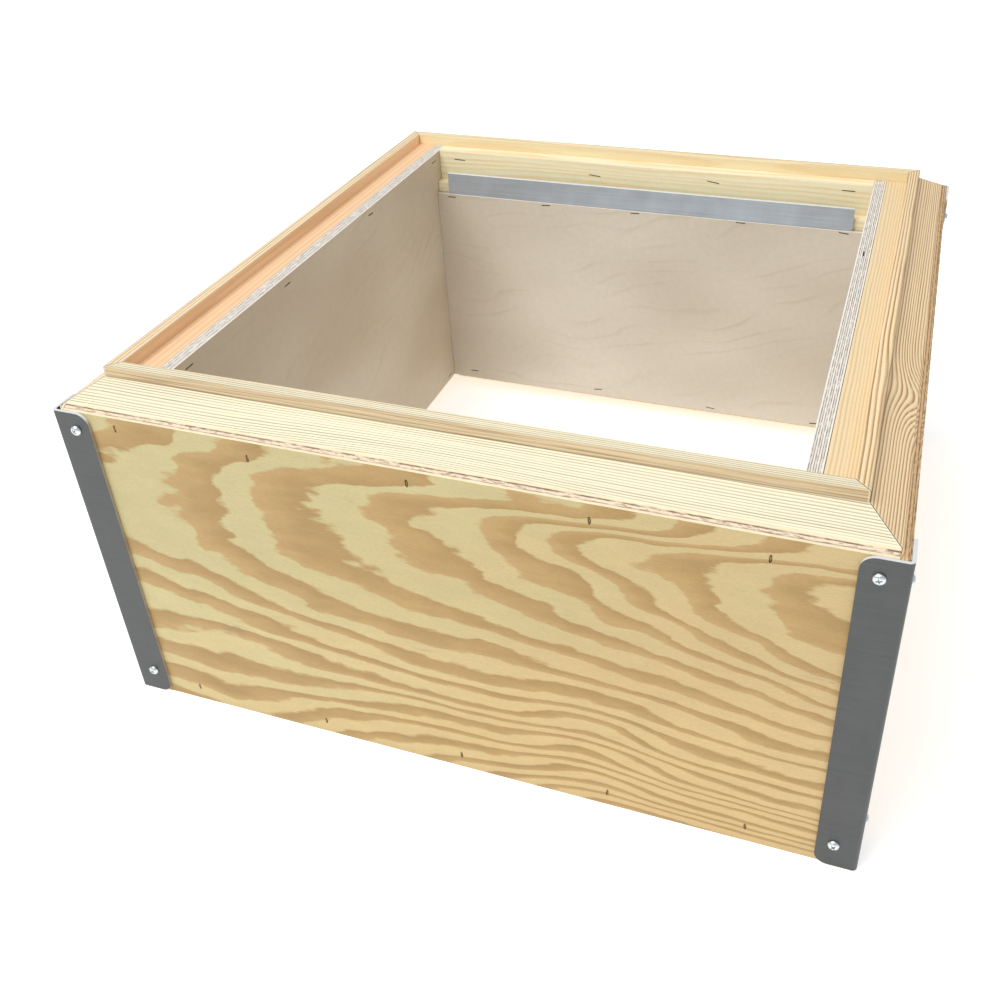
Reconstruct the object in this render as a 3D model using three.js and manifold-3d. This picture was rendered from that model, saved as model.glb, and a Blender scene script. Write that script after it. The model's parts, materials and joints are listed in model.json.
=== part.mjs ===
// An insulated beehive body: a square, open box with a double wall, a bevelled
// rim that carries the next body, two metal frame rests and metal corner angles.
// Millimetres, +Z up. The origin is at the centre of the footprint, on the ground.
// The front wall faces -Y.

import * as THREE from 'three';
import { mergeVertices } from 'three/addons/utils/BufferGeometryUtils.js';
import Module from 'manifold-3d';

const wasm = await Module();
wasm.setup();

// ---------------------------------------------------------------- dimensions
// "Out" values are distances from the vertical centre axis of the box to a face
// of a wall. All four walls share them, because the box is square outside.

const OUTER_OUT = 246; // outer face of the outer panels
const OUTER_PLY = 5; // outer panel thickness
const PANEL_TOP = 234; // outer arris of the outer panels
const RIM_INSET = 22.5; // run of the sloping rim, from the outer face to the lip
const RIM_RISE = 13.5; // rise of the sloping rim
const LIP_HEIGHT = 6.5; // lip above the slope
const LIP_WIDTH = 8.5;
const LEDGE_DROP = 8.5; // inner ledge below the lip
const RAIL_HEIGHT = 54; // top rail, lip included
const BOTTOM_RAIL_TOP = 46;

const INNER_PLY = 9; // inner panel thickness
const SIDE_INNER_OUT = 199; // outer face of the left and right inner panels
const END_INNER_OUT = 199.5; // outer face of the front and back inner panels
const INNER_BOTTOM = 17; // lower edge of the inner panels

const BATTEN_FACE_OUT = 202; // batten face that the frame lugs end at
const BATTEN_NOSE_OUT = 194.5; // front of the batten's rebate
const BATTEN_BOTTOM = 195;
const REBATE_TOP = 219; // ledge under the frame lugs
const END_INNER_TOP = 209.5; // upper edge of the front and back inner panels

const STRIP_THICKNESS = 3; // frame rest strip
const STRIP_HEIGHT = 19;
const STRIP_LENGTH = 357;

const LANDING = 2; // flat lower edge of the outer panels
const LEDGE_CONTACT = 10; // underside that rests on the ledge of the body below
const GROOVE_TOP = 20; // groove over the lip of the body below
const GROOVE_CLEARANCE = 1;

const POST_WIDTH = 50.5; // corner post along the front and back walls
const GLUE_GAP = 0.25; // joints between pieces
const MITRE_GAP = 0.2; // each rail end, short of the mitre plane
const INSULATION_GAP = 0.5;

const ANGLE_LEG = 25; // corner angle, outside measure
const ANGLE_THICKNESS = 2;
const ANGLE_BEND = 3; // outside radius of the bend
const ANGLE_CORNER = 8; // rounded free corners
const ANGLE_BOTTOM = 1;
const CORNER_CUT = { left: 3.5, right: 1.25 }; // outer panel's vertical corners

const SCREW_FROM_CORNER = 15; // screw axis to the outside of the angle
const END_SCREW_Z = [20, 222]; // on the front and back
const SIDE_SCREW_Z = [30, 212]; // on the left and right, clear of the others
const SCREW_RADIUS = 1.9;
const SCREW_LENGTH = 20; // below the head
const SCREW_POINT = 4;
const HEAD_RADIUS = 3.5;
const HEAD_HEIGHT = 2.4;
const HEAD_DOME = [[1, 0.45], [0.86, 0.78], [0.55, 0.96]]; // parts of its radius and height
const RECESS_ARM = 3.4; // cross recess, tip to tip
const RECESS_WIDTH = 0.9;
const RECESS_DEPTH = 1.3;
const WOOD_HOLE_RADIUS = 2.2;
const METAL_HOLE_RADIUS = 2.4;

const CUT_MARGIN = 1; // how far a cutter runs past what it cuts

const SCREW_SEGMENTS = 16;
const HOLE_SEGMENTS = 12;
const BEND_SEGMENTS = 5;
const CORNER_SEGMENTS = 6;

// ------------------------------------------------------------ derived sizes

const CORE_OUT = OUTER_OUT - OUTER_PLY; // outer face of the rails and posts
const LIP_OUT = OUTER_OUT - RIM_INSET;
const LIP_IN = LIP_OUT - LIP_WIDTH;
const LIP_BASE_Z = PANEL_TOP + RIM_RISE;
const TOP_Z = LIP_BASE_Z + LIP_HEIGHT;
const LEDGE_Z = TOP_Z - LEDGE_DROP;
const RAIL_BOTTOM = TOP_Z - RAIL_HEIGHT;
const SLOPE = RIM_RISE / RIM_INSET;
const GROOVE_OUT = LIP_OUT + GROOVE_CLEARANCE;
const GROOVE_IN = LIP_IN - GROOVE_CLEARANCE;
const ANGLE_OUT = OUTER_OUT + ANGLE_THICKNESS;
const SCREW_OUT = ANGLE_OUT - SCREW_FROM_CORNER;
const SIDE_INNER_IN = SIDE_INNER_OUT - INNER_PLY;
const END_INNER_IN = END_INNER_OUT - INNER_PLY;

const QUARTER = Math.PI / 2;

const rimZ = (out) => PANEL_TOP + (OUTER_OUT - out) * SLOPE;
const undersideZ = (out) => (OUTER_OUT - LANDING - out) * SLOPE;

// ----------------------------------------------------------------- materials

const finish = (color, roughness, metalness = 0) => ({ color, roughness, metalness });

const FINISHES = {
  outerPly: finish(0xdfc694, 0.6),
  innerPly: finish(0xcdbea5, 0.6),
  pine: finish(0xecd3a2, 0.6),
  insulation: finish(0xe9e4d3, 0.95),
  angle: finish(0x72777a, 0.42, 1),
  strip: finish(0xa5afb8, 0.4, 1),
  zinc: finish(0xb9c0c2, 0.3, 1),
};

// ------------------------------------------------------------- solid helpers

// A closed three.js geometry as a manifold solid.
function solidOf(geometry) {
  const bare = geometry.clone();
  bare.deleteAttribute('normal');
  bare.deleteAttribute('uv');
  const merged = mergeVertices(bare);
  return new wasm.Manifold(new wasm.Mesh({
    numProp: 3,
    vertProperties: new Float32Array(merged.attributes.position.array),
    triVerts: new Uint32Array(merged.index.array),
  }));
}

function geometryOf(solid) {
  const mesh = solid.getMesh();
  const geometry = new THREE.BufferGeometry();
  geometry.setAttribute('position', new THREE.BufferAttribute(mesh.vertProperties, 3));
  geometry.setIndex(new THREE.BufferAttribute(mesh.triVerts, 1));
  geometry.computeVertexNormals();
  return geometry;
}

const subtractAll = (solid, cutters) => cutters.reduce((left, cutter) => left.subtract(cutter), solid);

function extrude(points, depth) {
  const shape = new THREE.Shape(points.map(([x, y]) => new THREE.Vector2(x, y)));
  return new THREE.ExtrudeGeometry(shape, { depth, bevelEnabled: false });
}

// Plan outline in X and Y, from one height to another.
function columnOf(outline, bottom, top) {
  return extrude(outline, top - bottom).translate(0, 0, bottom);
}

// Wall section as [out, z] points, run along X. Outwards is -Y.
function sectionRun(section, halfLength) {
  const geometry = extrude(section, halfLength * 2);
  geometry.translate(0, 0, -halfLength);
  // (out, z, along) becomes (-along, -out, z)
  return geometry.applyMatrix4(new THREE.Matrix4().set(
    0, 0, -1, 0,
    -1, 0, 0, 0,
    0, 1, 0, 0,
    0, 0, 0, 1,
  ));
}

function box(xLow, xHigh, yLow, yHigh, zLow, zHigh) {
  const geometry = new THREE.BoxGeometry(xHigh - xLow, yHigh - yLow, zHigh - zLow);
  return geometry.translate((xLow + xHigh) / 2, (yLow + yHigh) / 2, (zLow + zHigh) / 2);
}

// ------------------------------------------------------------ screws and holes
// Each wall is made in its own frame, with outwards along -Y. Its own screws run
// along +Y, and its neighbours' screws cross its ends along X.

// Cutters for the holes of either, at both ends of the wall.
function screwHoles(heights, crossing) {
  const depth = 2 * (SCREW_LENGTH + CUT_MARGIN);
  return [-1, 1].flatMap((side) => heights.map((z) => {
    const hole = new THREE.CylinderGeometry(WOOD_HOLE_RADIUS, WOOD_HOLE_RADIUS, depth, HOLE_SEGMENTS);
    if (crossing) hole.rotateZ(QUARTER).translate(side * ANGLE_OUT, -SCREW_OUT, z);
    else hole.translate(side * SCREW_OUT, -ANGLE_OUT, z);
    return solidOf(hole);
  }));
}

// Pan-head screw along +Y, with its seat at y = 0 and its head towards -Y.
function screwGeometry() {
  const profile = [
    [0, SCREW_LENGTH],
    [SCREW_RADIUS, SCREW_LENGTH - SCREW_POINT],
    [SCREW_RADIUS, 0],
    [HEAD_RADIUS, 0],
    ...HEAD_DOME.map(([r, y]) => [r * HEAD_RADIUS, -y * HEAD_HEIGHT]),
    [0, -HEAD_HEIGHT],
  ];
  const points = profile.reverse().map(([r, y]) => new THREE.Vector2(r, y));
  const body = solidOf(new THREE.LatheGeometry(points, SCREW_SEGMENTS));
  const bottom = RECESS_DEPTH - HEAD_HEIGHT;
  const arms = [[RECESS_ARM, RECESS_WIDTH], [RECESS_WIDTH, RECESS_ARM]];
  const cutters = arms.map(([width, height]) => solidOf(
    box(-width / 2, width / 2, -HEAD_HEIGHT - CUT_MARGIN, bottom, -height / 2, height / 2),
  ));
  return geometryOf(subtractAll(body, cutters));
}

// -------------------------------------------------------------- wall pieces

const RAIL_TOP_SECTION = [
  [CORE_OUT, RAIL_BOTTOM],
  [CORE_OUT, rimZ(CORE_OUT)],
  [LIP_OUT, LIP_BASE_Z],
  [LIP_OUT, TOP_Z],
  [LIP_IN, TOP_Z],
  [LIP_IN, LEDGE_Z],
];

const RAIL_BOTTOM_SECTION = [
  [CORE_OUT, BOTTOM_RAIL_TOP],
  [CORE_OUT, undersideZ(CORE_OUT)],
  [GROOVE_OUT, undersideZ(GROOVE_OUT)],
  [GROOVE_OUT, GROOVE_TOP],
  [GROOVE_IN, GROOVE_TOP],
  [GROOVE_IN, LEDGE_CONTACT],
];

// Mitred rail. Inside the lip line its ends are square, at innerHalf.
function mitredRail(section, innerOut, innerHalf, bottom, top) {
  const outer = CORE_OUT - MITRE_GAP;
  const inner = LIP_IN - MITRE_GAP;
  const plan = [
    [-outer, -CORE_OUT],
    [outer, -CORE_OUT],
    [inner, -LIP_IN],
    [innerHalf, -LIP_IN],
    [innerHalf, -innerOut],
    [-innerHalf, -innerOut],
    [-innerHalf, -LIP_IN],
    [-inner, -LIP_IN],
  ];
  const run = solidOf(sectionRun(section, CORE_OUT));
  return run.intersect(solidOf(columnOf(plan, bottom - CUT_MARGIN, top + CUT_MARGIN)));
}

function topRail(innerOut, innerHalf, screwCutters) {
  const section = [...RAIL_TOP_SECTION];
  if (innerOut < LIP_IN) section.push([innerOut, LEDGE_Z]);
  section.push([innerOut, RAIL_BOTTOM]);
  const rail = mitredRail(section, innerOut, innerHalf, RAIL_BOTTOM, TOP_Z);
  return geometryOf(subtractAll(rail, screwCutters));
}

function bottomRail(innerOut, innerHalf, screwCutters) {
  const section = [
    ...RAIL_BOTTOM_SECTION,
    [innerOut, LEDGE_CONTACT],
    [innerOut, BOTTOM_RAIL_TOP],
  ];
  const rail = mitredRail(section, innerOut, innerHalf, 0, BOTTOM_RAIL_TOP);
  return geometryOf(subtractAll(rail, screwCutters));
}

// Outer plywood panel, bevelled with the rim above and with the underside below.
function outerPanel(halfLength, cornerCut, screwCutters) {
  const section = [
    [OUTER_OUT, 0],
    [OUTER_OUT, PANEL_TOP],
    [CORE_OUT, rimZ(CORE_OUT)],
    [CORE_OUT, undersideZ(CORE_OUT)],
    [OUTER_OUT - LANDING, 0],
  ];
  const outline = [
    [-halfLength, -CORE_OUT],
    [-halfLength, -OUTER_OUT + cornerCut],
    [-halfLength + cornerCut, -OUTER_OUT],
    [halfLength - cornerCut, -OUTER_OUT],
    [halfLength, -OUTER_OUT + cornerCut],
    [halfLength, -CORE_OUT],
  ];
  const run = solidOf(sectionRun(section, halfLength));
  if (cornerCut === 0) return geometryOf(subtractAll(run, screwCutters));
  const cut = run.intersect(solidOf(columnOf(outline, -CUT_MARGIN, TOP_Z)));
  return geometryOf(subtractAll(cut, screwCutters));
}

// Batten with the rebate that the frame lugs and the rest strip lie in.
function restBatten() {
  const section = [
    [LIP_IN - GLUE_GAP, BATTEN_BOTTOM],
    [LIP_IN - GLUE_GAP, LEDGE_Z],
    [BATTEN_FACE_OUT, LEDGE_Z],
    [BATTEN_FACE_OUT, REBATE_TOP],
    [BATTEN_NOSE_OUT, REBATE_TOP],
    [BATTEN_NOSE_OUT, END_INNER_TOP + GLUE_GAP],
    [END_INNER_OUT + GLUE_GAP, END_INNER_TOP + GLUE_GAP],
    [END_INNER_OUT + GLUE_GAP, BATTEN_BOTTOM],
  ];
  return sectionRun(section, SIDE_INNER_IN - GLUE_GAP);
}

// -------------------------------------------------------------- corner pieces

// Bent angle for the corner at -X, -Y, with its free corners rounded. Its front
// leg lies on the -Y face and its side leg on the -X face.
function cornerAngle(frontHeights, sideHeights) {
  const out = -ANGLE_OUT;
  const inner = -OUTER_OUT;
  const free = out + ANGLE_LEG;
  const bendCentre = inner + ANGLE_BEND - ANGLE_THICKNESS;
  const shape = new THREE.Shape();
  shape.moveTo(free, out);
  shape.lineTo(free, inner);
  shape.lineTo(bendCentre, inner);
  shape.absarc(bendCentre, bendCentre, bendCentre - inner, -QUARTER, -2 * QUARTER, true);
  shape.lineTo(inner, free);
  shape.lineTo(out, free);
  shape.lineTo(out, out + ANGLE_BEND);
  shape.absarc(bendCentre, bendCentre, ANGLE_BEND, 2 * QUARTER, 3 * QUARTER, false);
  const body = solidOf(new THREE.ExtrudeGeometry(shape, {
    depth: PANEL_TOP - ANGLE_BOTTOM,
    bevelEnabled: false,
    curveSegments: BEND_SEGMENTS,
  }).translate(0, 0, ANGLE_BOTTOM));
  const legs = [[ontoFrontLeg, frontHeights], [ontoSideLeg, sideHeights]];
  const cutters = legs.flatMap(([ontoLeg, heights]) => [
    cornerCutter(free, ANGLE_BOTTOM, 1),
    cornerCutter(free, PANEL_TOP, -1),
    ...heights.map(angleHole),
  ].map((geometry) => solidOf(ontoLeg(geometry))));
  return geometryOf(subtractAll(body, cutters));
}

// Leg cutters are drawn as (along the leg, height), with their depth centred on 0.
const LEG_CUT_DEPTH = 4 * ANGLE_THICKNESS;

const ontoFrontLeg = (geometry) => geometry.rotateX(QUARTER).translate(0, -OUTER_OUT, 0);

const ontoSideLeg = (geometry) => geometry
  .applyMatrix4(new THREE.Matrix4().set(
    0, 0, 1, 0,
    1, 0, 0, 0,
    0, 1, 0, 0,
    0, 0, 0, 1,
  ))
  .translate(-OUTER_OUT, 0, 0);

// What lies outside the quarter circle at a free corner of a leg.
function cornerCutter(free, edge, inwards) {
  const r = ANGLE_CORNER;
  const shape = new THREE.Shape();
  shape.moveTo(free + CUT_MARGIN, edge - inwards * CUT_MARGIN);
  shape.lineTo(free + CUT_MARGIN, edge + inwards * r);
  for (let i = 0; i <= CORNER_SEGMENTS; i += 1) {
    const turn = (i / CORNER_SEGMENTS) * QUARTER;
    shape.lineTo(free - r + r * Math.cos(turn), edge + inwards * (r - r * Math.sin(turn)));
  }
  shape.lineTo(free - r, edge - inwards * CUT_MARGIN);
  return new THREE.ExtrudeGeometry(shape, { depth: LEG_CUT_DEPTH, bevelEnabled: false })
    .translate(0, 0, -LEG_CUT_DEPTH / 2);
}

function angleHole(z) {
  const r = METAL_HOLE_RADIUS;
  return new THREE.CylinderGeometry(r, r, LEG_CUT_DEPTH, SCREW_SEGMENTS)
    .rotateX(QUARTER)
    .translate(-SCREW_OUT, z, 0);
}

// ------------------------------------------------------------------ assembly

const hive = new THREE.Group();

function add(parent, name, geometry, look) {
  const mesh = new THREE.Mesh(geometry, new THREE.MeshStandardMaterial(look));
  mesh.name = name;
  parent.add(mesh);
  return mesh;
}

const END_WALLS = [['front', 0], ['back', 2]];
const SIDE_WALLS = [['right', 1], ['left', 3]];

function wallGroup(quarterTurns) {
  const group = new THREE.Group();
  group.rotation.z = quarterTurns * QUARTER;
  hive.add(group);
  return group;
}

// Which way the two ends of a wall face, at its local -X and +X.
const WALL_ENDS = {
  front: ['left', 'right'],
  back: ['right', 'left'],
  right: ['front', 'back'],
  left: ['back', 'front'],
};

function addScrews(wall, name, heights) {
  WALL_ENDS[name].forEach((end, index) => {
    heights.forEach((z) => {
      const level = z < PANEL_TOP / 2 ? 'low' : 'high';
      const screw = add(wall, `angle_screw_${name}_${end}_${level}`, screwGeometry(), FINISHES.zinc);
      screw.position.set((2 * index - 1) * SCREW_OUT, -ANGLE_OUT, z);
    });
  });
}

for (const [name, turns] of END_WALLS) {
  const wall = wallGroup(turns);
  const own = screwHoles(END_SCREW_Z, false);
  const railCutters = [...own, ...screwHoles(SIDE_SCREW_Z, true)];
  const innerHalf = SIDE_INNER_IN - GLUE_GAP;
  add(wall, `outer_panel_${name}`, outerPanel(CORE_OUT - GLUE_GAP, 0, own), FINISHES.outerPly);
  add(wall, `top_rail_${name}`, topRail(LIP_IN, LIP_IN - MITRE_GAP, railCutters), FINISHES.pine);
  add(wall, `bottom_rail_${name}`,
    bottomRail(END_INNER_OUT + GLUE_GAP, innerHalf, railCutters), FINISHES.pine);
  add(wall, `frame_rest_batten_${name}`, restBatten(), FINISHES.pine);
  add(wall, `inner_panel_${name}`,
    box(-innerHalf, innerHalf, -END_INNER_OUT, -END_INNER_IN, INNER_BOTTOM, END_INNER_TOP),
    FINISHES.innerPly);
  const stripBack = BATTEN_NOSE_OUT - GLUE_GAP;
  const stripBottom = END_INNER_TOP + GLUE_GAP;
  add(wall, `frame_rest_strip_${name}`,
    box(-STRIP_LENGTH / 2, STRIP_LENGTH / 2, -stripBack, -stripBack + STRIP_THICKNESS,
      stripBottom, stripBottom + STRIP_HEIGHT),
    FINISHES.strip);
  const fillOut = CORE_OUT - INSULATION_GAP;
  const fillIn = END_INNER_OUT + INSULATION_GAP;
  add(wall, `insulation_${name}`,
    box(-innerHalf, innerHalf, -fillOut, -fillIn,
      BOTTOM_RAIL_TOP + INSULATION_GAP, BATTEN_BOTTOM - INSULATION_GAP),
    FINISHES.insulation);
  WALL_ENDS[name].forEach((end, index) => {
    const post = box(-POST_WIDTH / 2, POST_WIDTH / 2, -CORE_OUT, -LIP_IN - GLUE_GAP,
      BOTTOM_RAIL_TOP + GLUE_GAP, RAIL_BOTTOM - GLUE_GAP);
    post.translate((2 * index - 1) * (CORE_OUT - POST_WIDTH / 2), 0, 0);
    add(wall, `corner_post_${name}_${end}`, post, FINISHES.pine);
  });
  addScrews(wall, name, END_SCREW_Z);
}

for (const [name, turns] of SIDE_WALLS) {
  const wall = wallGroup(turns);
  const own = screwHoles(SIDE_SCREW_Z, false);
  const railCutters = [...own, ...screwHoles(END_SCREW_Z, true)];
  const innerHalf = LIP_IN - GLUE_GAP;
  const railIn = SIDE_INNER_OUT + GLUE_GAP;
  add(wall, `outer_panel_${name}`, outerPanel(OUTER_OUT, CORNER_CUT[name], own), FINISHES.outerPly);
  add(wall, `top_rail_${name}`, topRail(railIn, innerHalf, railCutters), FINISHES.pine);
  add(wall, `bottom_rail_${name}`, bottomRail(railIn, innerHalf, railCutters), FINISHES.pine);
  add(wall, `inner_panel_${name}`,
    box(-innerHalf, innerHalf, -SIDE_INNER_OUT, -SIDE_INNER_IN, INNER_BOTTOM, LEDGE_Z),
    FINISHES.innerPly);
  add(wall, `insulation_${name}`,
    box(-innerHalf, innerHalf, -CORE_OUT + INSULATION_GAP, -SIDE_INNER_OUT - INSULATION_GAP,
      BOTTOM_RAIL_TOP + INSULATION_GAP, RAIL_BOTTOM - INSULATION_GAP),
    FINISHES.insulation);
  addScrews(wall, name, SIDE_SCREW_Z);
}

const CORNERS = [['front_left', 0], ['front_right', 1], ['back_right', 2], ['back_left', 3]];
for (const [name, turns] of CORNERS) {
  const heights = [END_SCREW_Z, SIDE_SCREW_Z];
  if (turns % 2 === 1) heights.reverse();
  add(wallGroup(turns), `corner_angle_${name}`, cornerAngle(...heights), FINISHES.angle);
}

export default hive;
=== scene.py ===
"""Looks of an insulated beehive body: plywood outside and inside, a bevelled pine
rim, metal corner angles and frame rests. Sizes here are millimetres, like the
part's drawing, and meshes are written in metres."""

import json
import math
import random
from collections import namedtuple
from functools import partialmethod

import bmesh
import bpy
from mathutils import Euler, Matrix, Vector, noise

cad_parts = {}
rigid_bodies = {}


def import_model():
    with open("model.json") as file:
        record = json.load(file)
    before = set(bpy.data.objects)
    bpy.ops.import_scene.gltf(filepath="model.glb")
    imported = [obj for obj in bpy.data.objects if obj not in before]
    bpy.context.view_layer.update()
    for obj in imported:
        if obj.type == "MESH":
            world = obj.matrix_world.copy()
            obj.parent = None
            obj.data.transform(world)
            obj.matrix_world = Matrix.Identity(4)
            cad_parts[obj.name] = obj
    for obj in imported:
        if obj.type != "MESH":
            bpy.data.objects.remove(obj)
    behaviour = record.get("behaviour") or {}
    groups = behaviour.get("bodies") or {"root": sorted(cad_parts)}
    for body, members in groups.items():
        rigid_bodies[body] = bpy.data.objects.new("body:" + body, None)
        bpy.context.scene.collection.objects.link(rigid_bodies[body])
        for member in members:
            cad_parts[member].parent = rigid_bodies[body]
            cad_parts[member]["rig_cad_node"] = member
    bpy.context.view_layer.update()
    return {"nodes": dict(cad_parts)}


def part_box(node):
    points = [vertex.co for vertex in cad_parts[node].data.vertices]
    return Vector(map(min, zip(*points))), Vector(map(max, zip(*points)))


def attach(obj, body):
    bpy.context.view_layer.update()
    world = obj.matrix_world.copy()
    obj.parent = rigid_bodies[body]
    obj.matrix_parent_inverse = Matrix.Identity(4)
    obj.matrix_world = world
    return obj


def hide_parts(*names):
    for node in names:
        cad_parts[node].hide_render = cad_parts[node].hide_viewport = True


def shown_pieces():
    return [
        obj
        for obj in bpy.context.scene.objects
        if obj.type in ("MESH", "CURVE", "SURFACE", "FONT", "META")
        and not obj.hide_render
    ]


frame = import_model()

MM = 0.001


def cad_mm(node):
    """Lowest and highest corner of a CAD node, in millimetres."""
    low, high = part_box(node)
    return low / MM, high / MM


# -------------------- sizes
# "Out" is the distance from the vertical centre axis to a face of a wall.

panel_low, panel_high = cad_mm("outer_panel_front")
rail_low, rail_high = cad_mm("top_rail_front")
side_rail_low = cad_mm("top_rail_right")[0]
base_high = cad_mm("bottom_rail_front")[1]
side_base_low = cad_mm("bottom_rail_right")[0]
end_inner_low, end_inner_high = cad_mm("inner_panel_front")
side_inner_low, side_inner_high = cad_mm("inner_panel_right")
batten_low, batten_high = cad_mm("frame_rest_batten_front")
strip_low, strip_high = cad_mm("frame_rest_strip_front")
angle_low, angle_high = cad_mm("corner_angle_front_left")
screw_low, screw_high = cad_mm("angle_screw_front_left_high")

OUTER_OUT = -panel_low.y
CORE_OUT = -panel_high.y
LIP_IN = -rail_high.y
RAIL_BOTTOM = rail_low.z
TOP_Z = rail_high.z
SIDE_RAIL_IN = side_rail_low.x
MITRE_GAP = CORE_OUT - rail_high.x
BASE_TOP = base_high.z
PANEL_TOP = angle_high.z
ANGLE_OUT = -angle_low.y
ANGLE_LEG = angle_high.x - angle_low.x
GLUE_GAP = LIP_IN - side_inner_high.y

RIM_INSET = 22.5
RIM_SLOPE = 0.6
LEDGE_DROP = 8.5
LIP_OUT = OUTER_OUT - RIM_INSET
LEDGE_Z = TOP_Z - LEDGE_DROP
LANDING = 2
LEDGE_CONTACT = 10
GROOVE_TOP = 20
GROOVE_CLEARANCE = 1
GROOVE_OUT = LIP_OUT + GROOVE_CLEARANCE
GROOVE_IN = LIP_IN - GROOVE_CLEARANCE
BATTEN_FACE_OUT = 202
REBATE_TOP = 219
ANGLE_THICKNESS = 2
ANGLE_BEND = 3
ANGLE_CORNER = 8
ANGLE_EASED = 0.25
CORNER_CUT = {"left": 3.5, "right": 1.25}

WALLS = {"front": 0, "right": 1, "back": 2, "left": 3}
NEARLY = 0.01


def rim_z(out):
    return PANEL_TOP + (OUTER_OUT - out) * RIM_SLOPE


def underside_z(out):
    return (OUTER_OUT - LANDING - out) * RIM_SLOPE


# -------------------- mesh making
# Each wall has its own directions: along it, out of it and up.


def wall_turn(wall):
    return Matrix.Rotation(WALLS[wall] * math.pi / 2, 4, "Z")


def wall_point(wall, along, out, up):
    return wall_turn(wall) @ Vector((along, -out, up)) * MM


def join_rings(bm, rings):
    """Faces between each ring of corners and the next one. A ring may be one point."""
    faces = []
    for ring, following in zip(rings, rings[1:]):
        sides = max(len(ring), len(following))
        for index in range(sides):
            after = index + 1
            corners = (ring[index % len(ring)], ring[after % len(ring)],
                       following[after % len(following)], following[index % len(following)])
            faces.append(bm.faces.new(tuple(dict.fromkeys(corners))))
    return faces


def closed_tube(bm, rings):
    join_rings(bm, rings)
    bm.faces.new(rings[0])
    bm.faces.new(rings[-1])


def add_object(name, data):
    """A new object in the scene."""
    added = bpy.data.objects.new(name, data)
    bpy.context.scene.collection.objects.link(added)
    return added


def finish_mesh(name, bm, materials):
    """A new object in the scene from a bmesh."""
    bmesh.ops.recalc_face_normals(bm, faces=bm.faces)
    mesh = bpy.data.meshes.new(name)
    bm.to_mesh(mesh)
    bm.free()
    for material in materials:
        mesh.materials.append(material)
    return add_object(name, mesh)


def apply_modifiers(piece):
    """Writes the piece's modifiers into its mesh."""
    bpy.context.view_layer.update()
    evaluated = piece.evaluated_get(bpy.context.evaluated_depsgraph_get())
    piece.data = bpy.data.meshes.new_from_object(evaluated)
    piece.modifiers.clear()


def subtract(piece, cutter):
    """Cuts the cutter out of the piece and deletes it."""
    cut = piece.modifiers.new("cut out", "BOOLEAN")
    cut.object = cutter
    cut.solver = "EXACT"
    apply_modifiers(piece)
    bpy.data.objects.remove(cutter)


SMOOTH_ANGLE = math.radians(38)


def soften(piece):
    """Soft shading over rounded edges, with the flat faces kept flat."""
    bm = bmesh.new()
    bm.from_mesh(piece.data)
    for face in bm.faces:
        face.smooth = True
    for edge in bm.edges:
        edge.smooth = len(edge.link_faces) == 2 and edge.calc_face_angle() < SMOOTH_ANGLE
    bm.to_mesh(piece.data)
    bm.free()
    weighted = piece.modifiers.new("flat faces", "WEIGHTED_NORMAL")
    weighted.keep_sharp = True
    apply_modifiers(piece)


def stands_for(piece, node):
    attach(piece, "root")
    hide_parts(node)


# A corner of a wall's section: its rounding, how ragged it is, and which material
# the face that starts at it has.
Corner = namedtuple("Corner", "out up radius rough skin", defaults=(0.4, 0, 0))

# A rounding takes at most a share of the edges beside it.
ROUNDING_STEPS = 3
ROUNDING_SHARE = 0.45
SMALLEST_ROUNDING = 0.02

# How a run's surface wanders: tears in two sizes, and a slow wave along and up.
TEAR_PATCH = 3
FINE_TEARS, FINE_SHARE = 3.1, 0.6
WAVE_ALONG, WAVE_UP, WAVE_HEIGHT = 60, 40, 0.05
TORN_STATIONS, BOARD_STATIONS, SHEET_STATIONS, STRIP_STATIONS = 300, 60, 40, 24


def rounded(section):
    """The section's corners as points, with each rounded corner as a short arc."""
    points = []
    for index, corner in enumerate(section):
        before = section[index - 1]
        after = section[(index + 1) % len(section)]
        here = Vector((corner.out, corner.up))
        back = Vector((before.out, before.up)) - here
        ahead = Vector((after.out, after.up)) - here
        half_turn = back.angle(ahead) / 2
        reach = min(corner.radius / math.tan(half_turn), back.length * ROUNDING_SHARE,
                    ahead.length * ROUNDING_SHARE)
        if reach < SMALLEST_ROUNDING:
            points.append(corner)
            continue
        start = here + back.normalized() * reach
        end = here + ahead.normalized() * reach
        for step in range(ROUNDING_STEPS + 1):
            t = step / ROUNDING_STEPS
            arc = start * (1 - t) ** 2 + here * 2 * t * (1 - t) + end * t * t
            skin = corner.skin if t > 0.5 else before.skin
            points.append(Corner(arc.x, arc.y, 0, corner.rough, skin))
    return points


def wall_run(name, wall, section, half_length, materials, seed,
             stations=BOARD_STATIONS, ceiling=None):
    """A section run along a wall. half_length gives how far each point of it reaches,
    and ceiling how high it may be at each place along."""
    points = rounded(section)
    bm = bmesh.new()
    rings = []
    for station in range(stations + 1):
        t = station / stations * 2 - 1
        ring = []
        for index, point in enumerate(points):
            along = t * half_length(point.out)
            place = Vector((along / TEAR_PATCH, seed * 7.3 + index * 0.9, seed * 3.1))
            ragged = point.rough * (noise.noise(place) + FINE_SHARE * noise.noise(place * FINE_TEARS))
            slow = Vector((along / WAVE_ALONG, seed * 5.7, point.up / WAVE_UP))
            wave = WAVE_HEIGHT * noise.noise(slow)
            inward = max(ragged, 0) if point.rough else wave
            up = point.up + abs(ragged) * (0.5 if point.up < BASE_TOP else -0.5)
            if ceiling:
                up = min(up, ceiling(abs(along)))
            ring.append(bm.verts.new(wall_point(wall, along, point.out - inward, up)))
        rings.append(ring)
    for index, face in enumerate(join_rings(bm, rings)):
        face.material_index = points[index % len(points)].skin
    for ring in (rings[0], rings[-1]):
        for part in cap_parts(points):
            face = bm.faces.new([ring[index] for index in part])
            face.material_index = len(materials) - 1
    return finish_mesh(name, bm, materials)


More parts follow.
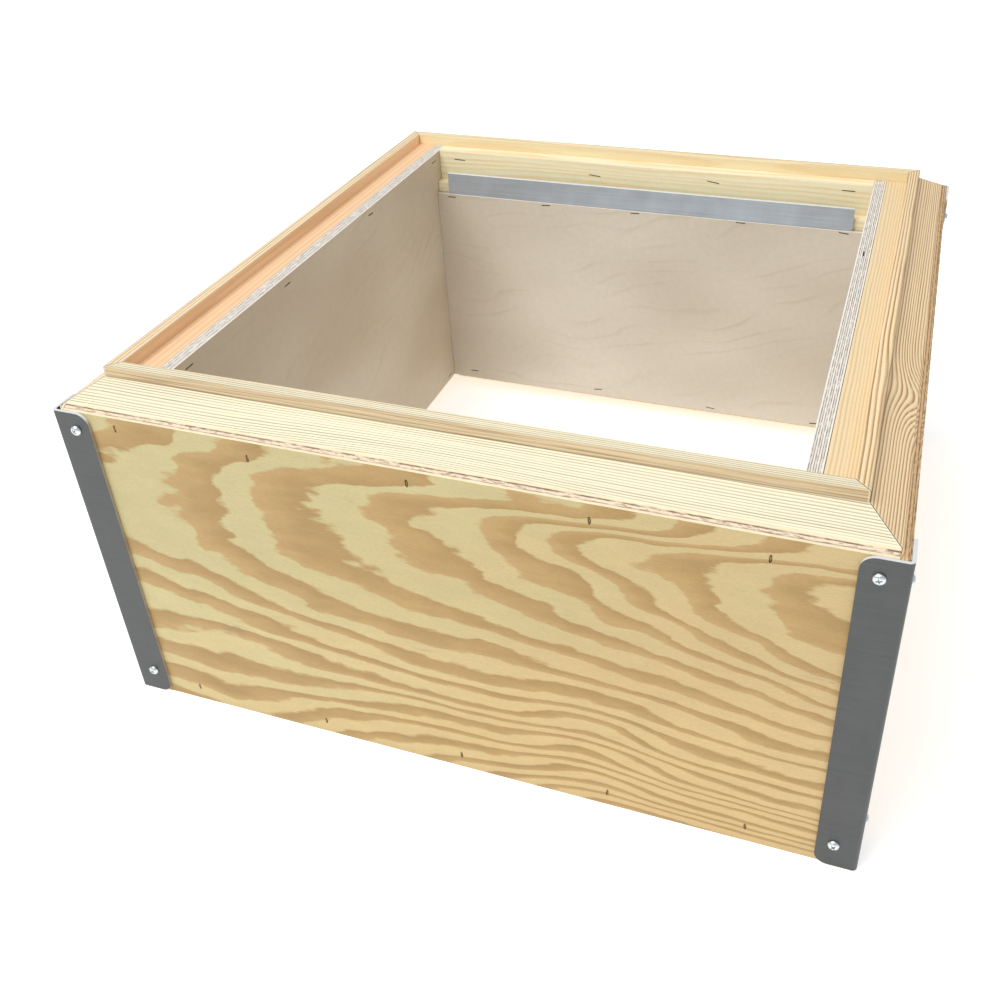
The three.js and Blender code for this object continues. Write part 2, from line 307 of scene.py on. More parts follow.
def cap_parts(points):
    """Which points bound each part of a run's end: the mitre, and what lies inside it.
    Where they share no edge, a third part joins them."""
    everything = range(len(points))
    inner = [index for index in everything if points[index].out < LIP_IN - NEARLY]
    if len(inner) in (0, len(points)):
        return [everything]
    outer = [index for index in everything if index not in inner]
    before, after = inner[0] - 1, (inner[-1] + 1) % len(points)
    if abs(points[before].out - LIP_IN) < NEARLY:
        return [outer, [before, *inner, after]]
    return [outer, inner, [before, inner[0], inner[-1], after]]


def mitre(out):
    return max(out, LIP_IN) - MITRE_GAP


# -------------------- material making


class Field:
    """A number or colour that varies over a surface: a socket of a material's node
    tree, with arithmetic that adds Math nodes."""

    def __init__(self, tree, socket):
        self.tree = tree
        self.socket = socket

    def math(self, operation, *others):
        return add_node(self.tree, "Math", (self, *others), operation=operation)

    __add__ = partialmethod(math, "ADD")
    __sub__ = partialmethod(math, "SUBTRACT")
    __mul__ = partialmethod(math, "MULTIPLY")
    __truediv__ = partialmethod(math, "DIVIDE")
    fraction = partialmethod(math, "FRACT")

    def __neg__(self):
        return self * -1

    def step(self, low, high):
        """0 below low and 1 above high, with a smooth step between."""
        return add_node(self.tree, "MapRange", (self, low, high, 0, 1),
                        interpolation_type="SMOOTHSTEP")

    def bell(self, centre, width):
        """1 at the centre, falling smoothly to nothing a few widths away."""
        distance = (self - centre) / width
        return (-(distance * distance)).math("EXPONENT")


def put(tree, value, slot):
    """Joins a field to a socket, or sets the socket to a constant."""
    if isinstance(value, Field):
        tree.links.new(value.socket, slot)
    else:
        slot.default_value = value


def add_node(tree, kind, values, **settings):
    """The first output of a new node whose first inputs have these values."""
    node = tree.nodes.new("ShaderNode" + kind)
    for setting, value in settings.items():
        setattr(node, setting, value)
    for slot, value in zip(node.inputs, values):
        put(tree, value, slot)
    return Field(tree, node.outputs[0])


def rgb(red, green, blue):
    """Linear colour from the 0 to 255 values of a colour picker."""
    def linear(value):
        share = value / 255
        return share / 12.92 if share <= 0.04045 else ((share + 0.055) / 1.055) ** 2.4

    return (linear(red), linear(green), linear(blue), 1)


SEED_STEP = 13.7


class Paint:
    """A material as it is written: its coordinates, patterns and mixes."""

    def __init__(self, name, wall="front", seed=0):
        self.material = bpy.data.materials.new(name)
        self.material.use_nodes = True
        self.tree = self.material.node_tree
        self.tree.nodes.clear()
        self.seed = seed
        place = self.tree.nodes.new("ShaderNodeTexCoord")
        turn = self.tree.nodes.new("ShaderNodeMapping")
        turn.inputs["Rotation"].default_value[2] = -WALLS[wall] * math.pi / 2
        turn.inputs["Scale"].default_value = (1 / MM,) * 3
        self.tree.links.new(place.outputs["Object"], turn.inputs["Vector"])
        parts = self.tree.nodes.new("ShaderNodeSeparateXYZ")
        self.tree.links.new(turn.outputs[0], parts.inputs[0])
        self.along = Field(self.tree, parts.outputs[0])
        self.out = -Field(self.tree, parts.outputs[1])
        self.up = Field(self.tree, parts.outputs[2])

    def noise(self, size, detail=2, roughness=0.5):
        """Smooth noise from about -1 to 1. size is its patches' (along, out, up) size."""
        self.seed += 1
        offset = self.seed * SEED_STEP
        parts = (self.along, self.out, self.up)
        place = add_node(self.tree, "CombineXYZ",
                         [part / patch + offset for part, patch in zip(parts, size)])
        w, scale = 0, 1
        node = add_node(self.tree, "TexNoise", (place, w, scale, detail, roughness))
        return (node - 0.5) * 3

    def curve(self, share, stops):
        """A value that runs through (place, value) stops, both from 0 to 1."""
        node = self.tree.nodes.new("ShaderNodeValToRGB")
        node.color_ramp.interpolation = "CARDINAL"
        marks = node.color_ramp.elements
        while len(marks) < len(stops):
            marks.new(0.5)
        for mark, (place, value) in zip(marks, stops):
            mark.position = place
            mark.color = (value, value, value, 1)
        put(self.tree, share, node.inputs[0])
        return Field(self.tree, node.outputs[0])

    def mix(self, share, low, high):
        node = self.tree.nodes.new("ShaderNodeMix")
        node.data_type = "RGBA"
        node.clamp_factor = True
        for index, value in ((0, share), (6, low), (7, high)):
            put(self.tree, value, node.inputs[index])
        return Field(self.tree, node.outputs[2])

    def shade(self, base, amount):
        """The colour made lighter or darker by a field around 0."""
        node = self.tree.nodes.new("ShaderNodeVectorMath")
        node.operation = "SCALE"
        put(self.tree, base if isinstance(base, Field) else base[:3], node.inputs[0])
        put(self.tree, amount + 1, node.inputs["Scale"])
        return Field(self.tree, node.outputs[0])

    def finish(self, base, roughness, relief=None, depth=0.0, metallic=0.0, **sockets):
        """The Principled shader. relief is a height field, and depth its scale in mm."""
        shader = self.tree.nodes.new("ShaderNodeBsdfPrincipled")
        output = self.tree.nodes.new("ShaderNodeOutputMaterial")
        put(self.tree, base, shader.inputs["Base Color"])
        put(self.tree, roughness, shader.inputs["Roughness"])
        shader.inputs["Metallic"].default_value = metallic
        for socket, value in sockets.items():
            shader.inputs[socket.replace("_", " ")].default_value = value
        if relief is not None:
            bump = self.tree.nodes.new("ShaderNodeBump")
            bump.inputs["Distance"].default_value = depth * MM
            put(self.tree, relief, bump.inputs["Height"])
            self.tree.links.new(bump.outputs[0], shader.inputs["Normal"])
        self.tree.links.new(shader.outputs[0], output.inputs["Surface"])
        return self.material


# -------------------- woods

# The flame figure of a pine veneer, as growth rings given over the sheet: for
# each height, the count at each place along the wall. Whole numbers are the middles
# of the tan latewood, which makes tongues that run together into lines below.
FLAME_PLACES = (-224, -190, -163, -96, -65, -29, 37, 87, 137, 187, 224)
FLAME_COUNTS = {
    234: (7.5, 7.05, 6.7, 5.7, 5.4, 5.1, 4.35, 4.15, 3.2, 2.1, 1.6),
    204: (6.72, 6.45, 6.08, 4.95, 4.55, 3.95, 3, 1.6, 1, 0.1, -0.5),
    178: (6.6, 6.42, 6.05, 5.03, 4.76, 4.3, 3.4, 2.75, 1.3, 0.3, -0.1),
    154: (6.5, 6.38, 6.15, 5.03, 4.84, 4.6, 4.1, 3.4, 2.6, 1.2, 0.5),
    134: (6.85, 6.6, 6.4, 5.78, 5.55, 5.2, 4.75, 4.4, 4, 3.3, 2.3),
    114: (7.9, 7.6, 7.3, 6.35, 6.15, 5.9, 5.95, 5.5, 5.2, 4.6, 4.3),
    91: (8.6, 8.45, 8.25, 7.7, 7.35, 7, 6.85, 7.2, 6.7, 6, 5.85),
    67: (9.1, 9.3, 9.45, 9, 8.8, 8.6, 8.6, 9.5, 8.25, 7.9, 7.8),
    44: (10.1, 10, 9.95, 10.1, 10.55, 11, 11.2, 12, 10.7, 9.95, 9.8),
    21: (11.1, 10.9, 10.8, 11.8, 12.3, 12.8, 13.3, 14.5, 13.7, 13.4, 13.2),
    0: (12.2, 11.85, 11.6, 12.8, 13.4, 14, 15.5, 17.2, 17.3, 17, 17),
}
FLAME_ROW_BLEND = 13.5
COUNT_OFFSET, COUNT_RANGE = 2, 20

# A veneer's patterns are this long in the direction through the sheet.
THROUGH = 400

# How each wall's sheet lies on the pattern: its directions and shifts along and up,
# and how far its own lines stray from it.
Sheet = namedtuple("Sheet", "flip slide rise lift stray")
SHEETS = {
    "front": Sheet(1, 0, 1, 0, 1.0),
    "right": Sheet(-0.9, 10, -1, 236, 2.4),
    "back": Sheet(1.0, -30, -0.9, 205, 2.0),
    "left": Sheet(-1, 20, 0.9, 30, 2.4),
}

# Dark ticks and smudges in the front veneer: along, up, half length, half height.
BLEMISHES = [(-156, 78, 10, 4), (216, 146, 9, 0.9), (-18, 100, 7, 0.9), (-98, 131, 4, 0.8)]


def flame_rings(paint, sheet):
    """Ring count over a rotary-cut veneer."""
    share = (paint.along * sheet.flip + sheet.slide) / (2 * OUTER_OUT) + 0.5
    up = paint.up * sheet.rise + sheet.lift
    total = weight = None
    for height, counts in FLAME_COUNTS.items():
        stops = [(place / (2 * OUTER_OUT) + 0.5, (count + COUNT_OFFSET) / COUNT_RANGE)
                 for place, count in zip(FLAME_PLACES, counts)]
        near = up.bell(height, FLAME_ROW_BLEND)
        row = paint.curve(share, stops) * near
        total = total + row if total else row
        weight = weight + near if weight else near
    rings = total / weight * COUNT_RANGE - COUNT_OFFSET
    broad = paint.noise((140, THROUGH, 60), detail=1) * 0.2 * (sheet.stray - 1)
    wander = paint.noise((34, THROUGH, 11), detail=1) * 0.11
    wander = wander + paint.noise((12, THROUGH, 5), detail=1) * 0.07
    fibre = paint.noise((9, THROUGH, 0.8)) * 0.035
    return rings + broad + wander * sheet.stray + fibre


def veneer(name, wall, seed):
    """Clear pine veneer with a broad flame figure."""
    paint = Paint(name, wall, seed)
    rings = flame_rings(paint, SHEETS[wall])
    off_centre = (rings + 0.5).fraction() - 0.5
    half_band = paint.noise((60, THROUGH, 15), detail=1) * 0.07 - paint.along / 5500 + 0.215
    half_band = half_band + paint.up.step(140, 180) * 0.045
    soft = paint.up.step(20, 150) * -0.05 + 0.12
    late = -(off_centre.math("ABSOLUTE") - half_band).step(soft * -0.5, soft * 0.6) + 1
    warm = paint.along / 330 - paint.up / 260 + paint.noise((110, THROUGH, 50)) * 0.45
    warm = warm.step(-1.2, 0.3)
    pale = paint.mix(warm, rgb(193, 180, 131), rgb(199, 172, 122))
    across = (off_centre / half_band + paint.noise((40, THROUGH, 10)) * 0.9).step(-1.2, 1.2)
    tan = paint.mix(across, rgb(165, 133, 79), rgb(181, 149, 96))
    pale = paint.shade(pale, paint.up.step(70, 150) * -0.09 + 0.07)
    base = paint.mix(late, pale, tan)
    fibre = paint.noise((14, THROUGH, 0.45), detail=3, roughness=0.6)
    speck = paint.noise((1.6, THROUGH, 0.5), roughness=0.7)
    cloud = paint.noise((26, THROUGH, 9))
    base = paint.shade(base, fibre * 0.08 + speck * 0.11 + cloud * 0.05)
    scratch = paint.noise((9, THROUGH, 0.5), detail=0).step(1.0, 1.25)
    base = paint.mix(scratch * 0.4, base, rgb(218, 202, 156))
    if wall == "front":
        streaks = paint.noise((7, THROUGH, 0.5)).step(-0.3, 0.5)
        for along, up, half_length, half_height in BLEMISHES:
            mark = paint.along.bell(along, half_length) * paint.up.bell(up, half_height) * streaks
            base = paint.mix(mark * 0.55, base, rgb(112, 98, 78))
    # Darker towards the bottom edge of the sheet, over its lowest few millimetres.
    darker_bottom_edge = (-paint.up).step(-7, 2) * 0.25
    base = paint.mix(darker_bottom_edge, base, rgb(168, 140, 98))
    relief = late * 0.3 + fibre * 0.5 + scratch * 0.6
    return paint.finish(base, late * -0.05 + fibre * 0.05 + 0.6, relief, 0.05)


# How a cut plywood edge looks: its long plies, its cross plies, the pits between the
# cross ply's fibres, its glue, how dark its torn arris is, and the rings if the
# inner plies are cut so flat that they show them.
Edge = namedtuple("Edge", "long cross pits glue torn rings", defaults=(0, None))


def ply_edge(name, wall, seed, face_out, layers, edge):
    """The cut edge of plywood. layers are the depths at which one ply meets the next."""
    paint = Paint(name, wall, seed)
    depth = -paint.out + face_out + paint.noise((6, 60, 60)) * 0.08
    tone = paint.noise((18, 2, 2)).step(-0.8, 0.8)
    base = paint.mix(tone, edge.long, [v * 0.92 for v in edge.long])
    if edge.rings:
        late = ring_lines(paint, edge.rings)
        base = paint.mix(late * edge.rings.contrast, base, edge.rings.late)
    dashes = paint.noise((3.6, 0.7, 40)).step(0.0, 0.5)
    cross = paint.mix(dashes * 0.65, edge.cross, edge.pits)
    lines = None
    for index, level in enumerate(layers):
        if index % 2 == 0:
            into_cross = depth.step(level - 0.08, level + 0.08)
        else:
            out_of_cross = -depth.step(level - 0.08, level + 0.08) + 1
            base = paint.mix(into_cross * out_of_cross, base, cross)
        line = depth.bell(level, 0.27)
        lines = line if lines is None else lines.math("MAXIMUM", line)
    broken = paint.noise((6, 1.2, 30)).step(-0.75, 0.25)
    base = paint.mix(lines * broken * 0.85, base, edge.glue)
    if edge.torn:
        torn = -depth.step(0.5, 1.1) + 1
        torn = torn * paint.noise((5, 30, 30)).step(-0.5, 0.5) * edge.torn
        base = paint.mix(torn, base, edge.glue)
    streak = paint.noise((5, 0.5, 0.5))
    relief = streak * 0.4 - dashes * 0.4 - lines
    return paint.finish(paint.shade(base, streak * 0.07), 0.75, relief, 0.18)


# A pine board: where its pith runs (out, up), its ring spacing, its colours, how
# strongly the rings show, how far they bend, any swirl of the rings on its slope
# (along, half length, reach), and its colour inside the lip.
Board = namedtuple("Board", "pith spacing early late contrast bend swirl inside",
                   defaults=(1.2, None, None))


def ring_lines(paint, board):
    """The latewood lines of a board's rings, which are a solid pattern."""
    across = paint.out - board.pith[0]
    rise = paint.up - board.pith[1]
    bend = paint.noise((190, 120, 120), detail=1) * board.bend
    bend = bend + paint.noise((45, 60, 60), detail=1) * 0.25
    radius = (across * across + rise * rise).math("SQRT") + bend
    if board.swirl:
        swirl_along, half_length, reach = board.swirl
        on_slope = paint.out.step(LIP_OUT - 6, OUTER_OUT + 6)
        radius = radius - paint.along.bell(swirl_along, half_length) * on_slope * reach
    rings = radius / board.spacing + paint.noise((300, 14, 14), detail=0) * 0.8
    phase = (rings + paint.noise((22, 0.5, 0.5), detail=3, roughness=0.6) * 0.04).fraction()
    return phase.step(0.3, 0.82) * (-phase.step(0.88, 0.97) + 1)


def pine(name, wall, seed, board, mitred=False):
    """Planed pine, with a saw-textured lip, darker seams where it's mitred, and a painted shade line
    in the corner at the foot of the lip.
    """
    paint = Paint(name, wall, seed)
    late = ring_lines(paint, board)
    strength = paint.noise((160, 2.5, 2.5), detail=1) * 0.45 + board.contrast
    inside = -paint.out.step(LIP_IN, LIP_IN + 0.4) + 1
    if mitred:
        strength = strength * (inside * -0.65 + 1)
    tone = paint.noise((180, 16, 16)).step(-0.8, 0.8)
    early = paint.mix(tone, board.early, [v * 0.93 for v in board.early])
    if board.inside:
        early = paint.mix(inside, early, board.inside)
    base = paint.mix(late * strength, early, board.late)
    fibre = paint.noise((22, 0.5, 0.5), detail=3, roughness=0.6)
    chatter = paint.noise((1.6, 3, 3), detail=1)
    base = paint.shade(base, fibre * 0.05 + chatter * 0.025)
    canal = paint.noise((9, 0.55, 0.55), detail=0).step(1.05, 1.3)
    base = paint.mix(canal * 0.35, base, [v * 0.6 for v in board.late])
    relief = late * 0.5 + fibre * 0.35 - canal * 0.5
    if mitred:
        lip_foot = rim_z(LIP_OUT)
        lip_side = paint.out.bell(LIP_OUT, 1.2) * paint.up.step(lip_foot - 0.5, lip_foot + 0.5)
        base = paint.mix(lip_side * 0.65, base, LIP_SIDE)
        streaks = paint.noise((70, 40, 0.8), detail=1).step(0.0, 0.5)
        base = paint.mix(lip_side * streaks * 0.6, base, LIP_STREAK)
        # Painted shade: a thin dark line in the corner where the lip's side meets the slope.
        painted_foot_shade = paint.out.bell(LIP_OUT, 0.35) * paint.up.bell(lip_foot, 0.35)
        base = paint.mix(painted_foot_shade * 0.8, base, SEAM_AND_PAINTED_SHADE)
        sawn = ((paint.along - paint.out * 1.5) * SAW_MARKS + fibre).math("SINE")
        sawn = sawn * paint.up.step(TOP_Z - 0.5, TOP_Z - 0.1)
        sawn = sawn * paint.noise((4, 4, 4)).step(-0.6, 0.6)
        base = paint.shade(base, sawn * 0.05)
        relief = relief + sawn * 0.8
        past_mitre = paint.along.math("ABSOLUTE") - paint.out
        on_mitre = paint.out.step(LIP_IN - 0.2, LIP_IN)
        pale_seam = past_mitre.step(-1.4, -1.0) * on_mitre
        base = paint.mix(pale_seam * 0.4, base, rgb(250, 240, 210))
        base = paint.mix(past_mitre.step(-0.5, -0.35) * on_mitre * 0.65, base, SEAM_AND_PAINTED_SHADE)
    return paint.finish(base, late * -0.06 + fibre * 0.05 + 0.55, relief, 0.07)


SAW_MARKS = 3.4
LIP_SIDE = rgb(202, 173, 128)
LIP_STREAK = rgb(150, 116, 74)
# Dark colour of the mitre seams, also used for the painted shade line at the lip's foot.
SEAM_AND_PAINTED_SHADE = rgb(112, 84, 50)

TOP_RAILS = {
    "front": Board((128, 306), 1.62, rgb(252, 243, 212), rgb(176, 158, 122), 0.8, 1.0,
                   (-8, 80, -7)),
    "right": Board((118, 303), 1.85, rgb(254, 230, 184), rgb(184, 134, 86), 0.95, 1.0,
                   (-105, 30, 15), rgb(245, 222, 178)),
    "back": Board((60, 240), 6.5, rgb(250, 233, 190), rgb(236, 195, 138), 0.8, 6.0),
    "left": Board((90, 262), 3.4, rgb(250, 232, 194), rgb(206, 158, 106), 0.8, 1.2, None,
                  rgb(250, 212, 170)),
}
BOTTOM_RAILS = {
    "front": Board((150, -60), 3.2, rgb(240, 220, 174), rgb(200, 160, 108), 0.8),
    "right": Board((300, -30), 2.8, rgb(238, 216, 168), rgb(194, 150, 98), 0.8),
    "back": Board((140, 100), 3.6, rgb(242, 222, 176), rgb(204, 165, 116), 0.7),
    "left": Board((230, -80), 3.0, rgb(240, 218, 170), rgb(198, 155, 104), 0.8),
}
BATTENS = {
    "front": Board((168, 128), 4.6, rgb(255, 244, 208), rgb(245, 216, 162), 0.6, 2.0),
    "back": Board((165, 122), 4.8, rgb(255, 247, 212), rgb(246, 218, 164), 0.6, 4.0),
}


# The birch's lighter and darker tones. The left panel is a browner sheet.
BIRCH = rgb(218, 209, 194), rgb(201, 190, 173)
BROWN_BIRCH = rgb(210, 197, 175), rgb(198, 180, 156)


def birch(name, wall, seed, flow):
    """Birch veneer: grey-beige and even, with a few faint wandering ring lines."""
    paint = Paint(name, wall, seed)
    share = paint.along * flow / (2 * OUTER_OUT) + 0.5
    lean = (share * -3.4).math("EXPONENT") * -150
    rings = (paint.up + lean + paint.noise((110, 110, 60), detail=1) * 22) / 17
    rings = rings + paint.noise((24, 24, 12)) * 0.1
    phase = rings.fraction()
    line = phase.step(0.72, 0.97) * (-phase.step(0.975, 1.0) + 1)
    line = line * paint.noise((90, 90, 30)).step(-0.3, 1.1)
    tone = paint.noise((150, 150, 90), detail=1).step(-0.8, 0.8)
    base = paint.mix(tone, *(BROWN_BIRCH if wall == "left" else BIRCH))
    base = paint.mix(line * 0.34, base, rgb(164, 144, 120))
    fleck = paint.noise((3.5, 3.5, 0.5))
    cloud = paint.noise((5, 5, 5), detail=3)
    base = paint.shade(base, fleck * 0.035 + cloud * 0.04)
    pin = paint.noise((3.2, 3.2, 1.3), detail=0).step(1.22, 1.35)
    base = paint.mix(pin * 0.5, base, rgb(138, 116, 92))
    return paint.finish(base, fleck * 0.05 + 0.58, fleck * 0.5 + cloud * 0.2, 0.04)


# -------------------- metals


def sheet_metal(name, seed, tint, roughness, scratch_size, metallic):
    """Mill-finish sheet: rolling streaks, cloudy reflections and light scratches."""
    paint = Paint(name, "front", seed)
    cloud = paint.noise((18, 18, 30), detail=3)
    streak = paint.noise(scratch_size, roughness=0.7)
    scratch = paint.noise([value * 0.6 for value in scratch_size], detail=0).step(1.1, 1.3)
    base = paint.shade(tint, cloud * 0.12 + streak * 0.15)
    base = paint.mix(scratch * 0.4, base, [min(v * 1.7, 1) for v in tint])
    gloss = cloud * 0.06 + streak * 0.08 + roughness
    relief = streak * 0.4 + cloud * 0.4 + scratch * -0.5
    return paint.finish(base, gloss, relief, 0.03, metallic=metallic)


def cut_metal(name, seed):
    """The sheared edge of a sheet, with a painted white highlight where it faces up and a duller
    brownish painted reflection of the wood where it faces sideways.
    """
    paint = Paint(name, "front", seed)
    shear = paint.noise((0.8, 0.8, 0.8))
    facing = paint.tree.nodes.new("ShaderNodeNewGeometry")
    parts = paint.tree.nodes.new("ShaderNodeSeparateXYZ")
    paint.tree.links.new(facing.outputs["Normal"], parts.inputs[0])
    # Painted light: edges facing up get a near-white painted highlight, and edges facing sideways a
    # duller brown that stands in for the wood they reflect.
    painted_highlight_share = Field(paint.tree, parts.outputs[2]).step(0.1, 0.7)
    base = paint.mix(painted_highlight_share, rgb(170, 160, 144), rgb(236, 238, 240))
    base = paint.shade(base, shear * 0.06)
    return paint.finish(base, shear * 0.08 + 0.42, shear, 0.03, metallic=0.35)


def zinc(name, tint, roughness, seed):
    """Plated steel, with the slight mottling of the plating."""
    paint = Paint(name, "front", seed)
    mottle = paint.noise((1.1, 1.1, 1.1), detail=3)
    base = paint.shade(tint, mottle * 0.08)
    return paint.finish(base, mottle * 0.06 + roughness, mottle, 0.015, metallic=1.0)


def insulation_board(name):
    """Pressed light board, as pale felted fibres."""
    paint = Paint(name, "front", 40)
    felt = paint.noise((1.5, 1.5, 1.5), detail=4, roughness=0.7)
    strand = paint.noise((6, 0.7, 0.7))
    base = paint.shade(rgb(232, 226, 208), felt * 0.08 + strand * 0.05)
    return paint.finish(base, 0.95, felt + strand * 0.5, 0.3)


# -------------------- the pieces

PLY_DEPTHS = (1.5, 3.4)
PLY_RECESS = 0.22
HAIR = 0.1


def outer_edge(face_out, rise, rough):
    """The outer panel's cut edge from its face inwards, with its middle ply worn back."""
    first, second = PLY_DEPTHS
    corners = [(first, 0, 0.05), (first + HAIR, PLY_RECESS, rough),
               (second - HAIR, PLY_RECESS, rough), (second, 0, 0.05)]
    return [Corner(face_out - depth, rise(face_out - depth) - sunk, 0, ragged, 1)
            for depth, sunk, ragged in corners]


PLY_GLUE = rgb(104, 76, 52)
OUTER_EDGES = {
    "front": Edge(rgb(249, 233, 198), rgb(244, 223, 196), rgb(150, 116, 90), PLY_GLUE, 0.1),
    "right": Edge(rgb(234, 203, 156), rgb(226, 190, 142), rgb(178, 132, 88), PLY_GLUE,
                  0.75, TOP_RAILS["right"]),
    "back": Edge(rgb(244, 224, 180), rgb(236, 206, 166), rgb(160, 126, 92), PLY_GLUE, 0.1),
    "left": Edge(rgb(248, 234, 198), rgb(244, 224, 188), rgb(186, 150, 112), PLY_GLUE, 0.2),
}
BIRCH_EDGE = Edge(rgb(254, 251, 244), rgb(243, 235, 222), rgb(196, 180, 164), rgb(116, 98, 84))


def outer_panel(wall, seed):
    face = veneer(f"pine_veneer_{wall}", wall, seed)
    rough, worn = (0.6, 0.5) if wall in CORNER_CUT else (0.35, 0.15)
    edge = ply_edge(f"pine_ply_edge_{wall}", wall, seed + 20, OUTER_OUT, PLY_DEPTHS,
                    OUTER_EDGES[wall])
    section = [
        Corner(OUTER_OUT, 0, 0.5, 0.08, 0),
        Corner(OUTER_OUT, PANEL_TOP, 0.4, worn, 1),
        *outer_edge(OUTER_OUT, rim_z, rough),
        Corner(CORE_OUT, rim_z(CORE_OUT), 0, 0.05, 1),
        Corner(CORE_OUT, underside_z(CORE_OUT), 0, 0, 1),
        Corner(OUTER_OUT - LANDING, 0, 0.2, 0, 1),
    ]

    def half_length(out):
        if wall in CORNER_CUT:
            return min(OUTER_OUT, 2 * OUTER_OUT - CORNER_CUT[wall] - out)
        return panel_high.x

    return wall_run(f"{wall}_plywood_panel", wall, section, half_length, [face, edge],
                    seed, TORN_STATIONS, rim_z)


def top_rail(wall, seed):
    wood = pine(f"top_rail_pine_{wall}", wall, seed, TOP_RAILS[wall], mitred=True)
    section = [
        Corner(CORE_OUT, RAIL_BOTTOM),
        Corner(CORE_OUT, rim_z(CORE_OUT), 0.1),
        Corner(LIP_OUT, rim_z(LIP_OUT), 0.3),
        Corner(LIP_OUT, TOP_Z, 0.55),
        Corner(LIP_IN, TOP_Z, 0.55),
        Corner(LIP_IN, LEDGE_Z, 0.3),
    ]
    if wall in CORNER_CUT:
        section += [Corner(SIDE_RAIL_IN, LEDGE_Z, 0.5), Corner(SIDE_RAIL_IN, RAIL_BOTTOM)]
    section.append(Corner(LIP_IN, RAIL_BOTTOM, 0))
    return wall_run(f"{wall}_top_rail", wall, section, mitre, [wood], seed)


def bottom_rail(wall, seed):
    wood = pine(f"bottom_rail_pine_{wall}", wall, seed, BOTTOM_RAILS[wall])
    inner = side_base_low.x if wall in CORNER_CUT else -base_high.y
    section = [
        Corner(CORE_OUT, BASE_TOP),
        Corner(CORE_OUT, underside_z(CORE_OUT), 0.1),
        Corner(GROOVE_OUT, underside_z(GROOVE_OUT), 0.5),
        Corner(GROOVE_OUT, GROOVE_TOP, 0.3),
        Corner(GROOVE_IN, GROOVE_TOP, 0.3),
        Corner(GROOVE_IN, LEDGE_CONTACT, 0.5),
        Corner(inner, LEDGE_CONTACT, 0.6),
        Corner(inner, BASE_TOP),
    ]
    return wall_run(f"{wall}_bottom_rail", wall, section, base_mitre(wall), [wood], seed)


def base_mitre(wall):
    """The bottom rails are mitred outside the lip line and square inside it."""
    square = LIP_IN if wall in CORNER_CUT else end_inner_high.x + MITRE_GAP

    def half_length(out):
        return (out if out >= LIP_IN else square) - MITRE_GAP

    return half_length


BIRCH_PLIES = 7
BIRCH_RECESS = 0.12


def inner_panel(wall, seed):
    if wall in CORNER_CUT:
        low, high = side_inner_low, side_inner_high
        inner, outer, half = low.x, high.x, high.y
    else:
        low, high = end_inner_low, end_inner_high
        inner, outer, half = -high.y, -low.y, high.x
    face = birch(f"birch_veneer_{wall}", wall, seed, 1 if wall in ("back", "left") else -1)
    ply = (outer - inner) / BIRCH_PLIES
    depths = [ply * index for index in range(1, BIRCH_PLIES)]
    edge = ply_edge(f"birch_ply_edge_{wall}", wall, seed + 20, outer, depths, BIRCH_EDGE)

    def end(z, sign):
        corners = []
        for index, depth in enumerate(depths):
            sunk = BIRCH_RECESS if index % 2 == 0 else 0
            corners.append(Corner(outer - depth, z - sign * (BIRCH_RECESS - sunk), 0, 0, 1))
            corners.append(Corner(outer - depth - HAIR, z - sign * sunk, 0, 0, 1))
        return corners

    section = [
        Corner(outer, low.z, 0.3, 0, 0),
        Corner(outer, high.z, 0.3, 0, 1),
        *end(high.z, 1),
        Corner(inner, high.z, 0.35, 0, 0),
        Corner(inner, low.z, 0.35, 0, 1),
        *reversed(end(low.z, -1)),
    ]
    return wall_run(f"{wall}_birch_panel", wall, section, lambda out: half, [face, edge],
                    seed, SHEET_STATIONS)


def rest_batten(wall, seed):
    wood = pine(f"batten_pine_{wall}", wall, seed, BATTENS[wall])
    outer = -batten_low.y
    nose = -batten_high.y
    panel_out = -end_inner_low.y + GLUE_GAP
    shelf = end_inner_high.z + GLUE_GAP
    section = [
        Corner(outer, batten_low.z),
        Corner(outer, batten_high.z, 0.3),
        Corner(BATTEN_FACE_OUT, batten_high.z, 0.8),
        Corner(BATTEN_FACE_OUT, REBATE_TOP, 0.3),
        Corner(nose, REBATE_TOP, 0.5),
        Corner(nose, shelf, 0.3),
        Corner(panel_out, shelf, 0.3),
        Corner(panel_out, batten_low.z),
    ]
    return wall_run(f"{wall}_rest_batten", wall, section, lambda out: batten_high.x, [wood], seed)


def rest_strip(wall, seed, metal):
    inner, outer = -strip_high.y, -strip_low.y
    section = [
        Corner(outer, strip_low.z, 0.35),
        Corner(outer, strip_high.z, 0.35, 0, 1),
        Corner(inner, strip_high.z, 0.35),
        Corner(inner, strip_low.z, 0.35, 0, 1),
    ]
    return wall_run(f"{wall}_rest_strip", wall, section, lambda out: strip_high.x, metal,
                    seed, STRIP_STATIONS)


